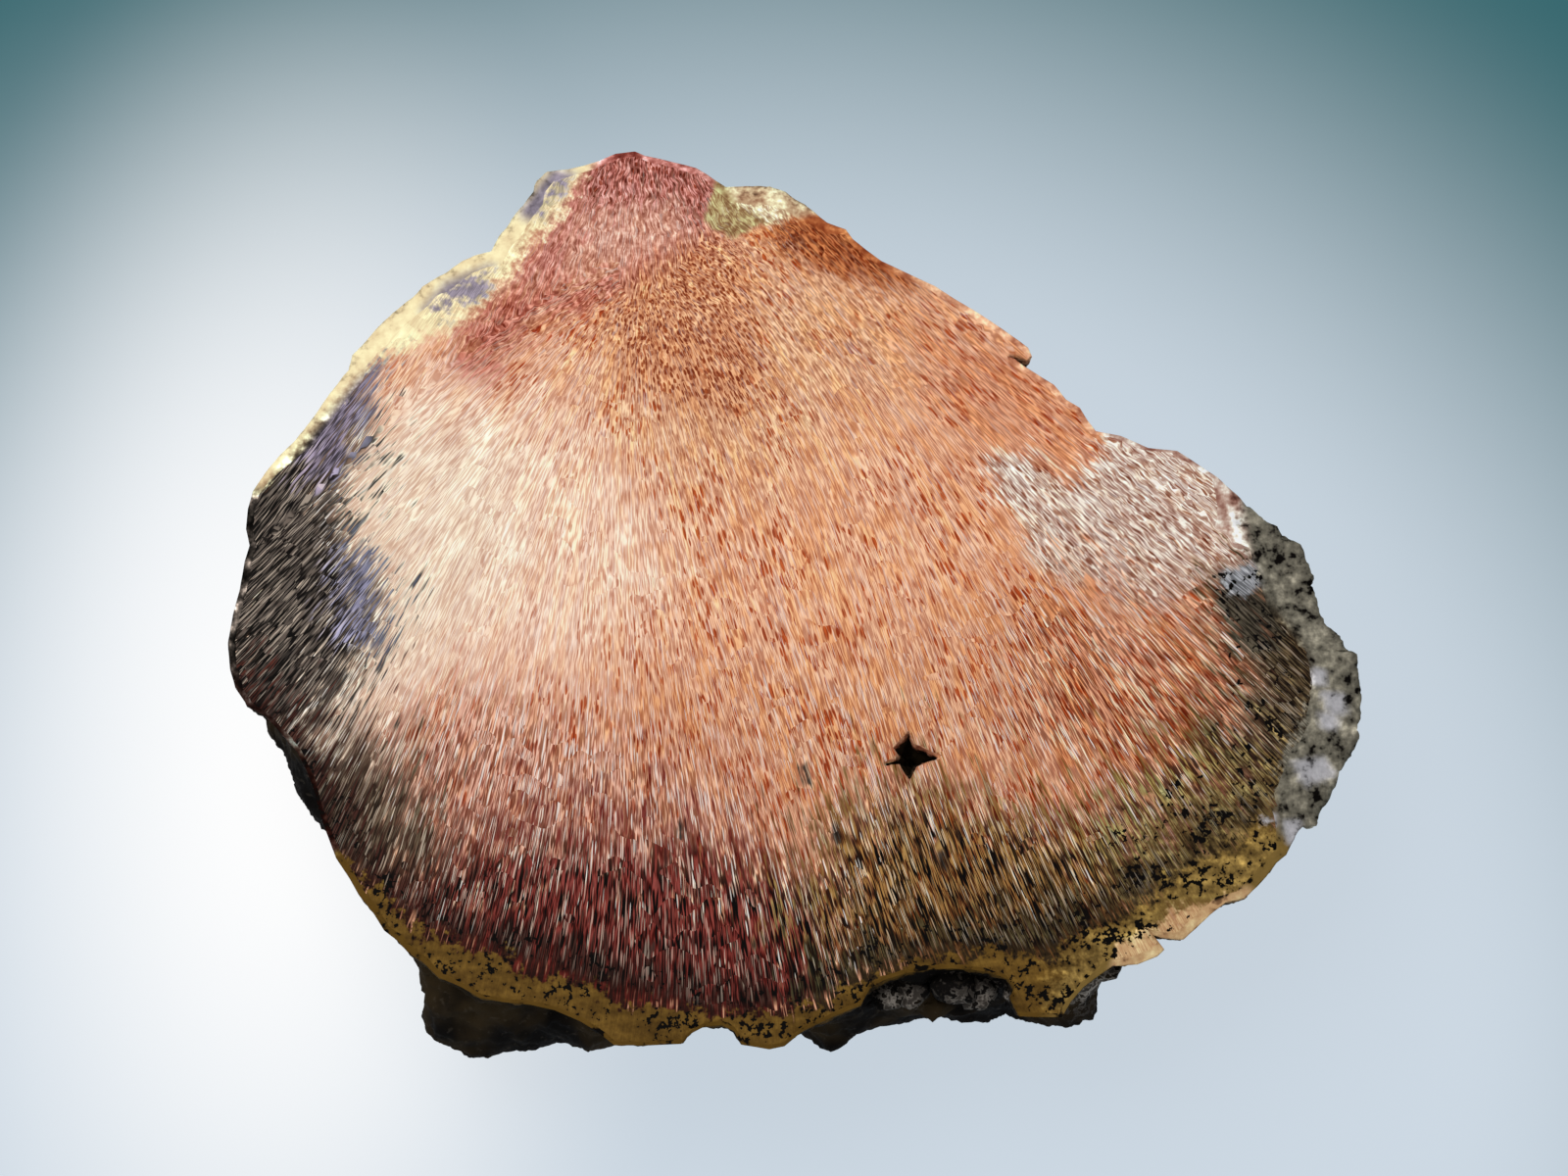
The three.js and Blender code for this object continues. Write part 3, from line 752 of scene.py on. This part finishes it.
def add_areas(mesh, drawn):
    """How far inside each area the points lie, and what the areas say there."""
    distances = {
        name: np.max([outline_distance(drawn, outline) for outline in area["outlines"]], axis=0)
        for name, area in AREAS.items()
    }
    for name, inside in distances.items():
        add_values(mesh, name, "POINT", inside)
    blended = blended_areas(distances)
    add_vectors(mesh, "rim_colour", blended[:, 0:3])
    add_vectors(mesh, "marks", blended[:, 3:6])
    add_vectors(mesh, "more_marks", blended[:, 6:9])
    add_values(mesh, "grey", "POINT", blended[:, 9])


def add_fibres(mesh, drawn, triangles):
    """The fibres' own coordinates, and where they are felted."""
    across, along, fineness = fibre_coordinates(drawn, triangles)
    add_values(mesh, "across", "CORNER", across)
    add_values(mesh, "along", "CORNER", along)
    add_values(mesh, "fineness", "CORNER", fineness)
    inside = [(f["share"], outline_distance(drawn, f["outline"])) for f in FELTED]
    felt = [share * fade(distance, -FELT_EDGE, FELT_EDGE) for share, distance in inside]
    add_values(mesh, "felt", "POINT", np.max(felt, axis=0))


def fine_stone(node):
    """The stone with its fine surface, and with all the numbers that its materials read."""
    places, triangles, kinds = fine_surface(node)
    mesh = bpy.data.meshes.new("stone_fine")
    mesh.from_pydata((places * MM).tolist(), [], triangles.tolist())
    drawn = places[:, :2] + ORIGIN
    add_fibres(mesh, drawn, triangles)
    add_areas(mesh, drawn)
    add_values(mesh, "depth", "POINT", places[:, 2].max() - places[:, 2])
    nearest = [np.linalg.norm(places + (*ORIGIN, 0) - at, axis=1) / size for at, size in GEMS]
    add_values(mesh, "gem", "POINT", np.min(nearest, axis=0))
    layer = mesh.uv_layers.new(name="OFBake")
    layer.data.foreach_set("uv", bake_map(places, triangles, kinds).ravel())
    mesh.polygons.foreach_set("use_smooth", np.repeat(True, len(triangles)))
    mesh.materials.append(face_material())
    mesh.materials.append(side_material())
    mesh.polygons.foreach_set("material_index", np.minimum(kinds, 1))
    stone = bpy.data.objects.new("stone_fine", mesh)
    bpy.context.collection.objects.link(stone)
    return stone


# Painting. The scales of the noise are per metre: 1000 makes blots about a millimetre wide.


class Painter:
    """Short ways to add the nodes of one material."""

    def __init__(self, material):
        material.use_nodes = True
        self.tree = material.node_tree
        self.tree.nodes.clear()

    def put(self, socket, value):
        """A link from another node, or a plain value."""
        if isinstance(value, bpy.types.NodeSocket):
            self.tree.links.new(value, socket)
        else:
            socket.default_value = value

    def node(self, kind, inputs=(), **settings):
        """A shader node of a kind, with its inputs and settings."""
        made = self.tree.nodes.new("ShaderNode" + kind)
        for name, value in settings.items():
            setattr(made, name, value)
        for name, value in dict(inputs).items():
            self.put(made.inputs[name], value)
        return made

    def value(self, name):
        """A number stored on the mesh."""
        return self.node("Attribute", attribute_name=name).outputs["Fac"]

    def values(self, name):
        """Three numbers stored together on the mesh."""
        stored = self.node("Attribute", attribute_name=name).outputs["Vector"]
        return list(self.node("SeparateXYZ", {"Vector": stored}).outputs)

    def math(self, operation, *values):
        made = self.node("Math", operation=operation)
        for socket, value in zip(made.inputs, values):
            self.put(socket, value)
        return made.outputs[0]

    def times(self, a, b):
        return self.math("MULTIPLY", a, b)

    def fade(self, value, low, high, start=0.0, end=1.0):
        """Start below low, end above high, and smooth between."""
        inputs = {"Value": value, "From Min": low, "From Max": high, "To Min": start, "To Max": end}
        return self.node("MapRange", inputs, interpolation_type="SMOOTHSTEP").outputs["Result"]

    def mix(self, share, a, b, blend="MIX"):
        """Colour b over colour a."""
        made = self.node("Mix", data_type="RGBA", blend_type=blend, clamp_result=True)
        self.put(made.inputs[0], share)
        for socket, value in ((made.inputs[6], a), (made.inputs[7], b)):
            self.put(socket, (*value, 1) if isinstance(value, tuple) else value)
        return made.outputs[2]

    def blend(self, share, a, b):
        """Number b over number a."""
        made = self.node("Mix", data_type="FLOAT")
        for socket, value in zip(made.inputs[:1] + made.inputs[2:4], (share, a, b)):
            self.put(socket, value)
        return made.outputs[0]

    def place(self, x, y, z=0.0):
        return self.node("CombineXYZ", {"X": x, "Y": y, "Z": z}).outputs[0]

    def noise(self, place, scale, detail=2.0, rough=0.5, dimensions="2D"):
        inputs = {"Vector": place, "Scale": scale, "Detail": detail, "Roughness": rough}
        return self.node("TexNoise", inputs, noise_dimensions=dimensions).outputs["Fac"]

    def stretched(self, place, x, y):
        made = self.node("VectorMath", operation="MULTIPLY")
        self.put(made.inputs[0], place)
        made.inputs[1].default_value = (x, y, 1)
        return made.outputs[0]


class Fibres:
    """Patterns that run along the fibres and keep their real width as the fibres spread."""

    def __init__(self, paint, here):
        self.paint = paint
        # where the fibres get twice as wide, they split: here sooner, there later
        early = paint.noise(here, 300.0, 0.0)
        level = paint.math("FLOOR", paint.math("ADD", paint.value("fineness"), early))
        across = paint.times(paint.value("across"), paint.math("POWER", 2.0, level))
        # they wave a little, and are felted near the tip
        wave = paint.math("SUBTRACT", paint.noise(here, 450.0, 1.0), 0.5)
        felt = paint.fade(paint.value("felt"), 0.0, 1.0, 0.5, 3.5)
        across = paint.math("MULTIPLY_ADD", wave, felt, across)
        self.place = paint.place(across, paint.value("along"), level)

    def streaks(self, across, along, detail):
        """Noise drawn out along the fibres: its frequency per fibre and per millimetre."""
        place = self.paint.stretched(self.place, across, along)
        return self.paint.noise(place, 1.0, detail, 0.6)

    def flecks(self, across, along, offset, share, size):
        """Separate long flecks. share is how many of the cells hold one, size how far it fills."""
        paint = self.paint
        moved = paint.node("VectorMath", operation="ADD")
        paint.put(moved.inputs[0], paint.stretched(self.place, across, along))
        moved.inputs[1].default_value = (offset, offset * 0.7, 0)
        inputs = {"Vector": moved.outputs[0], "Scale": 1.0}
        cells = paint.node("TexVoronoi", inputs, voronoi_dimensions="2D")
        kind = paint.node("SeparateColor", {"Color": cells.outputs["Color"]})
        chosen = paint.fade(kind.outputs["Red"], 1 - share, 1 - share * 0.85)
        body = paint.fade(cells.outputs["Distance"], size * 0.7, size, 1.0, 0.0)
        strength = paint.math("MULTIPLY_ADD", kind.outputs["Green"], 0.5, 0.5)
        return paint.times(paint.times(chosen, body), strength)

    def strongest(self, kinds):
        """The strongest of several kinds of flecks."""
        found = self.flecks(*kinds[0])
        for kind in kinds[1:]:
            found = self.paint.math("MAXIMUM", found, self.flecks(*kind))
        return found


def painted_areas(paint, noises):
    """The large colours of the face, with borders broken up by streaks or by blots."""
    mixed = paint.times(noises["blots"], 0.9)
    mixed = paint.math("ADD", paint.times(noises["wide"], 1.2), mixed)
    streaky = paint.math("MULTIPLY_ADD", noises["streaks"], 2.4, mixed)
    streaky = paint.math("SUBTRACT", streaky, 2.25)
    blotchy = paint.math("ADD", noises["crumbs"], noises["blots"])
    blotchy = paint.math("SUBTRACT", blotchy, 1.0)
    colour = SALMON
    for name, area in AREAS.items():
        ragged = blotchy if area.get("edge") == "rock" else streaky
        moved = paint.math("MULTIPLY_ADD", ragged, float(area["ragged"]), paint.value(name))
        share = paint.fade(moved, -float(area["soft"]), float(area["soft"]))
        colour = paint.mix(share, colour, area["colour"])
    return colour


def stronger(paint, colour, stops):
    """A colour made paler by so many stops, or darker and redder below 0."""
    inputs = {}
    for channel, share in STOP_SHARES.items():
        share = paint.blend(paint.value("grey"), share, 1.0)
        inputs[channel] = paint.math("POWER", 2.0, paint.times(stops, share))
    light = paint.node("CombineColor", inputs).outputs[0]
    return paint.mix(1.0, colour, light, "MULTIPLY")


def marked(paint, share, colour, tint):
    """A colour with marks on it, which tint what lies under them."""
    return paint.mix(share, colour, paint.mix(1.0, colour, tint, "MULTIPLY"))


def light_and_dark(paint, here, noises, marks):
    """How many stops lighter or darker each place is than its area."""
    # streaks along the fibres, and broader differences between neighbouring bundles
    grain = paint.times(noises["streaks"], 0.55)
    grain = paint.math("MULTIPLY_ADD", noises["fine"], 0.45, grain)
    stops = paint.times(paint.fade(grain, 0.41, 0.59, -1.0, 1.0), marks["streaks"])
    broad = paint.math("MULTIPLY_ADD", noises["blots"], 0.6, noises["wide"])
    stops = paint.math("MULTIPLY_ADD", paint.math("ADD", broad, -0.8), BUNDLE_STOPS, stops)

    # crumbs in the rock and in the felted fibres, and wavy bands in the rock
    felted = paint.times(paint.value("felt"), 0.8)
    rough = paint.math("MAXIMUM", marks["dots"], felted)
    mottling = paint.times(paint.math("SUBTRACT", noises["crumbs"], 0.5), rough)
    stops = paint.math("MULTIPLY_ADD", mottling, CRUMB_STOPS, stops)
    bands = paint.noise(paint.stretched(here, 0.3, 1.2), 500.0, 2.0)
    bands = paint.times(paint.math("SUBTRACT", bands, 0.5), marks["dots"])
    return paint.math("MULTIPLY_ADD", bands, BAND_STOPS, stops)


def warm_and_cool(paint, colour, noises, marks):
    """Some bundles of fibres are more orange, and others more pink."""
    warm = paint.math("MULTIPLY_ADD", noises["blots"], -0.6, noises["wide"])
    tint = paint.mix(paint.fade(warm, 0.08, 0.32), PINK, ORANGE)
    tinted = paint.mix(1.0, colour, tint, "MULTIPLY")
    return paint.mix(paint.times(marks["rust"], 0.8), colour, tinted)


def brown_flecks(paint, here, fibres, colour, marks):
    """Short brown specks, and long rusty flecks that crowd together here and there."""
    specks = paint.times(fibres.strongest(SPECKS), marks["specks"])
    colour = marked(paint, specks, colour, SPECK)
    crowd = paint.fade(paint.noise(here, 120.0, 1.0), 0.38, 0.58, 0.35, 1.4)
    rust = paint.times(fibres.strongest(RUST), crowd)
    rust = paint.times(rust, marks["rust"])
    return marked(paint, rust, colour, RUSTY)


def gaps_and_dots(paint, fibres, noises, marks):
    """How black each place is: gaps between the fibres, and dots in the rock."""
    gaps = paint.fade(noises["streaks"], 0.47, 0.39)
    gaps = paint.math("MAXIMUM", fibres.strongest(GAPS), gaps)
    gaps = paint.times(gaps, marks["gaps"])
    dots = paint.math("MULTIPLY_ADD", noises["blots"], -0.7, noises["crumbs"])
    dots = paint.math("SUBTRACT", dots, paint.times(marks["dots"], 0.12))
    dotted = paint.fade(marks["dots"], 0.0, 0.2)
    dots = paint.times(paint.fade(dots, -0.05, -0.08), dotted)
    return paint.math("MAXIMUM", gaps, dots)


def face_colour(paint, here):
    """The polished face: areas, fibre streaks, flecks, gaps, dots, needles with painted glints."""
    fibres = Fibres(paint, here)
    noises = {
        "streaks": fibres.streaks(0.9, 0.2, 1.0),
        "fine": fibres.streaks(1.8, 0.4, 0.0),
        "wide": fibres.streaks(0.22, 0.05, 1.0),
        "blots": paint.noise(here, 260.0, 2.0),
        "crumbs": paint.noise(here, 1000.0, 2.0, 0.65),
    }
    marks = dict(zip(MARKS, paint.values("marks") + paint.values("more_marks")))
    plain = painted_areas(paint, noises)
    colour = stronger(paint, plain, light_and_dark(paint, here, noises, marks))
    colour = warm_and_cool(paint, colour, noises, marks)
    colour = brown_flecks(paint, here, fibres, colour, marks)
    colour = paint.mix(gaps_and_dots(paint, fibres, noises, marks), colour, BLACK)
    # the needles, partly painted glints: a paler copy of the area's colour
    needles_and_glints = paint.times(fibres.strongest(NEEDLES_AND_GLINTS), marks["needles_and_glints"])
    needle_glint = paint.mix(0.4, stronger(paint, plain, NEEDLE_GLINT_STOPS), NEEDLE_GLINT)
    return paint.mix(needles_and_glints, colour, needle_glint), noises["crumbs"]


def rim_colour(paint, here, crumbs):
    """The colours of the face, crumbled and with black dots."""
    _, dots, contrast = paint.values("more_marks")
    rim = paint.node("Attribute", attribute_name="rim_colour").outputs["Vector"]
    both = paint.math("ADD", crumbs, paint.noise(here, 330.0, 1.0, 0.5, "3D"))
    stops = paint.times(paint.math("SUBTRACT", both, 1.0), RIM_STOPS)
    rim = stronger(paint, rim, paint.times(stops, contrast))
    black = paint.times(paint.fade(both, 0.90, 0.74), paint.fade(dots, 0.0, 0.4))
    return paint.mix(black, rim, RIM_BLACK)


def side_colour(paint, here):
    """Broken host rock, nearly black with painted shade, with brown patches and small paler grains.
    """
    # nearly black: the dark rock with painted shade over it, and brown patches
    patches = paint.fade(paint.noise(here, 90.0, 3.0, 0.5, "3D"), 0.44, 0.66)
    colour = paint.mix(patches, SIDE_ROCK_AND_SHADE, SIDE_BROWN)
    crumbs = paint.noise(here, 900.0, 2.0, 0.6, "3D")
    grains = paint.fade(crumbs, 0.60, 0.70)
    colour = paint.mix(paint.times(grains, 0.12), colour, SIDE_GRAIN)

    # pale crystals in the broken hollow
    near = paint.math("MULTIPLY_ADD", paint.math("SUBTRACT", crumbs, 0.5), 5.0, paint.value("gem"))
    pale = paint.mix(paint.fade(crumbs, 0.40, 0.65), GEM_DARK, GEM_PALE)
    colour = paint.mix(paint.fade(near, 1.1, 0.7), colour, pale)

    # the colours of the face reach a little way down, and further on the wide grey margin
    margin = paint.fade(paint.value("grey_margin"), -1.0, 1.0, 0.0, -3.0)
    edge = paint.math("MULTIPLY_ADD", crumbs, -3.0, paint.value("depth"))
    edge = paint.math("ADD", edge, margin)
    rim = rim_colour(paint, here, crumbs)
    return paint.mix(paint.fade(edge, -0.9, 0.6), rim, colour), crumbs


def finished(name, colour_of, roughness, bump_height):
    """A material with a colour of its own, and a slight relief."""
    material = bpy.data.materials.new(name)
    paint = Painter(material)
    here = paint.node("TexCoord").outputs["Object"]
    colour, relief = colour_of(paint, here)
    inputs = {"Strength": RELIEF, "Distance": bump_height, "Height": relief}
    bump = paint.node("Bump", inputs)
    inputs = {
        "Base Color": colour,
        "Roughness": roughness,
        "Specular IOR Level": SHEEN,
        "Normal": bump.outputs[0],
    }
    surface = paint.node("BsdfPrincipled", inputs)
    output = paint.node("OutputMaterial")
    paint.put(output.inputs["Surface"], surface.outputs[0])
    return material


def face_material():
    return finished("polished_fibres", face_colour, roughness=0.5, bump_height=0.0001)


def side_material():
    return finished("broken_rock", side_colour, roughness=0.85, bump_height=0.0005)


# The surroundings


def distance_from(paint, x, y, spot):
    """How far a place is from a spot, in the spot's own sizes."""
    squares = []
    for value, middle, size in zip((x, y), spot["at"], spot["size"]):
        side = paint.math("DIVIDE", paint.math("SUBTRACT", value, middle), size)
        squares.append(paint.times(side, side))
    return paint.math("SQRT", paint.math("ADD", *squares))


def glowing_floor():
    """A glowing pale backdrop: painted white light on the left, painted shade at the top corners.
    """
    bpy.ops.mesh.primitive_plane_add(size=3)
    floor = bpy.context.object
    floor.name = "floor"
    material = bpy.data.materials.new("backdrop")
    paint = Painter(material)
    here = paint.node("TexCoord").outputs["Object"]
    parts = paint.node("SeparateXYZ", {"Vector": here})
    x, y = parts.outputs["X"], parts.outputs["Y"]
    # painted shade: the floor darkens towards the top corners
    far = paint.fade(distance_from(paint, x, y, FLOOR_MIDDLE), *FLOOR_SHADE_FADE)
    colour = paint.mix(far, FLOOR_PALE, FLOOR_SHADE)
    # a painted pool of white light on the left
    near = paint.fade(distance_from(paint, x, y, FLOOR_LIGHT_POOL), 0.0, 1.0, 1.0, 0.0)
    colour = paint.mix(near, colour, (1.0, 1.0, 1.0))
    glow = paint.node("Emission", {"Color": colour, "Strength": FLOOR_GLOW})
    matte = paint.node("BsdfDiffuse", {"Color": colour})
    both = paint.node("MixShader", {"Fac": FLOOR_MATTE})
    paint.put(both.inputs[1], glow.outputs[0])
    paint.put(both.inputs[2], matte.outputs[0])
    output = paint.node("OutputMaterial")
    paint.put(output.inputs["Surface"], both.outputs[0])
    floor.data.materials.append(material)


def aim(thing, target):
    """Turns a lamp or the camera towards a place."""
    thing.rotation_euler = (Vector(target) - thing.location).to_track_quat("-Z", "Y").to_euler()


def lights(target):
    lamp = bpy.data.lights.new("window", "AREA")
    lamp.size = LAMP["size"]
    lamp.energy = LAMP["power"]
    lamp = bpy.data.objects.new("window", lamp)
    lamp.location = LAMP["at"]
    bpy.context.collection.objects.link(lamp)
    aim(lamp, target)
    world = bpy.data.worlds.new("room")
    world.use_nodes = True
    background = world.node_tree.nodes["Background"]
    background.inputs["Color"].default_value = (1, 1, 1, 1)
    background.inputs["Strength"].default_value = SKY
    bpy.context.scene.world = world


def camera(target):
    data = bpy.data.cameras.new("camera")
    data.lens = CAMERA_LENS
    data.sensor_width = 36
    seen = bpy.data.objects.new("camera", data)
    up = math.radians(CAMERA_ANGLE)
    away = Vector((0, -math.cos(up), math.sin(up)))
    seen.location = Vector(target) + away * CAMERA_DISTANCE
    bpy.context.collection.objects.link(seen)
    aim(seen, target)
    bpy.context.scene.camera = seen


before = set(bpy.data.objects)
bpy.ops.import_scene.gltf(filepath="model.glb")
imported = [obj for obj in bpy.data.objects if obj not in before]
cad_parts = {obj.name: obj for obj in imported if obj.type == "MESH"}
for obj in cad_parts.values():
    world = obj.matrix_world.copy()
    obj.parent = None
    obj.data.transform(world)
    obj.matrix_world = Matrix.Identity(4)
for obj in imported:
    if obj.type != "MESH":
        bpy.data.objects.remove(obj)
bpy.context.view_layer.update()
cad_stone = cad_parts["stone"]
stone = fine_stone(cad_stone)
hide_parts("stone")
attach(stone, "root")

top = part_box("stone")[1][2]
target = ((LOOKED_AT[0] - ORIGIN[0]) * MM, (LOOKED_AT[1] - ORIGIN[1]) * MM, top)
glowing_floor()
lights(target)
camera(target)
bpy.context.scene.view_settings.view_transform = "Standard"
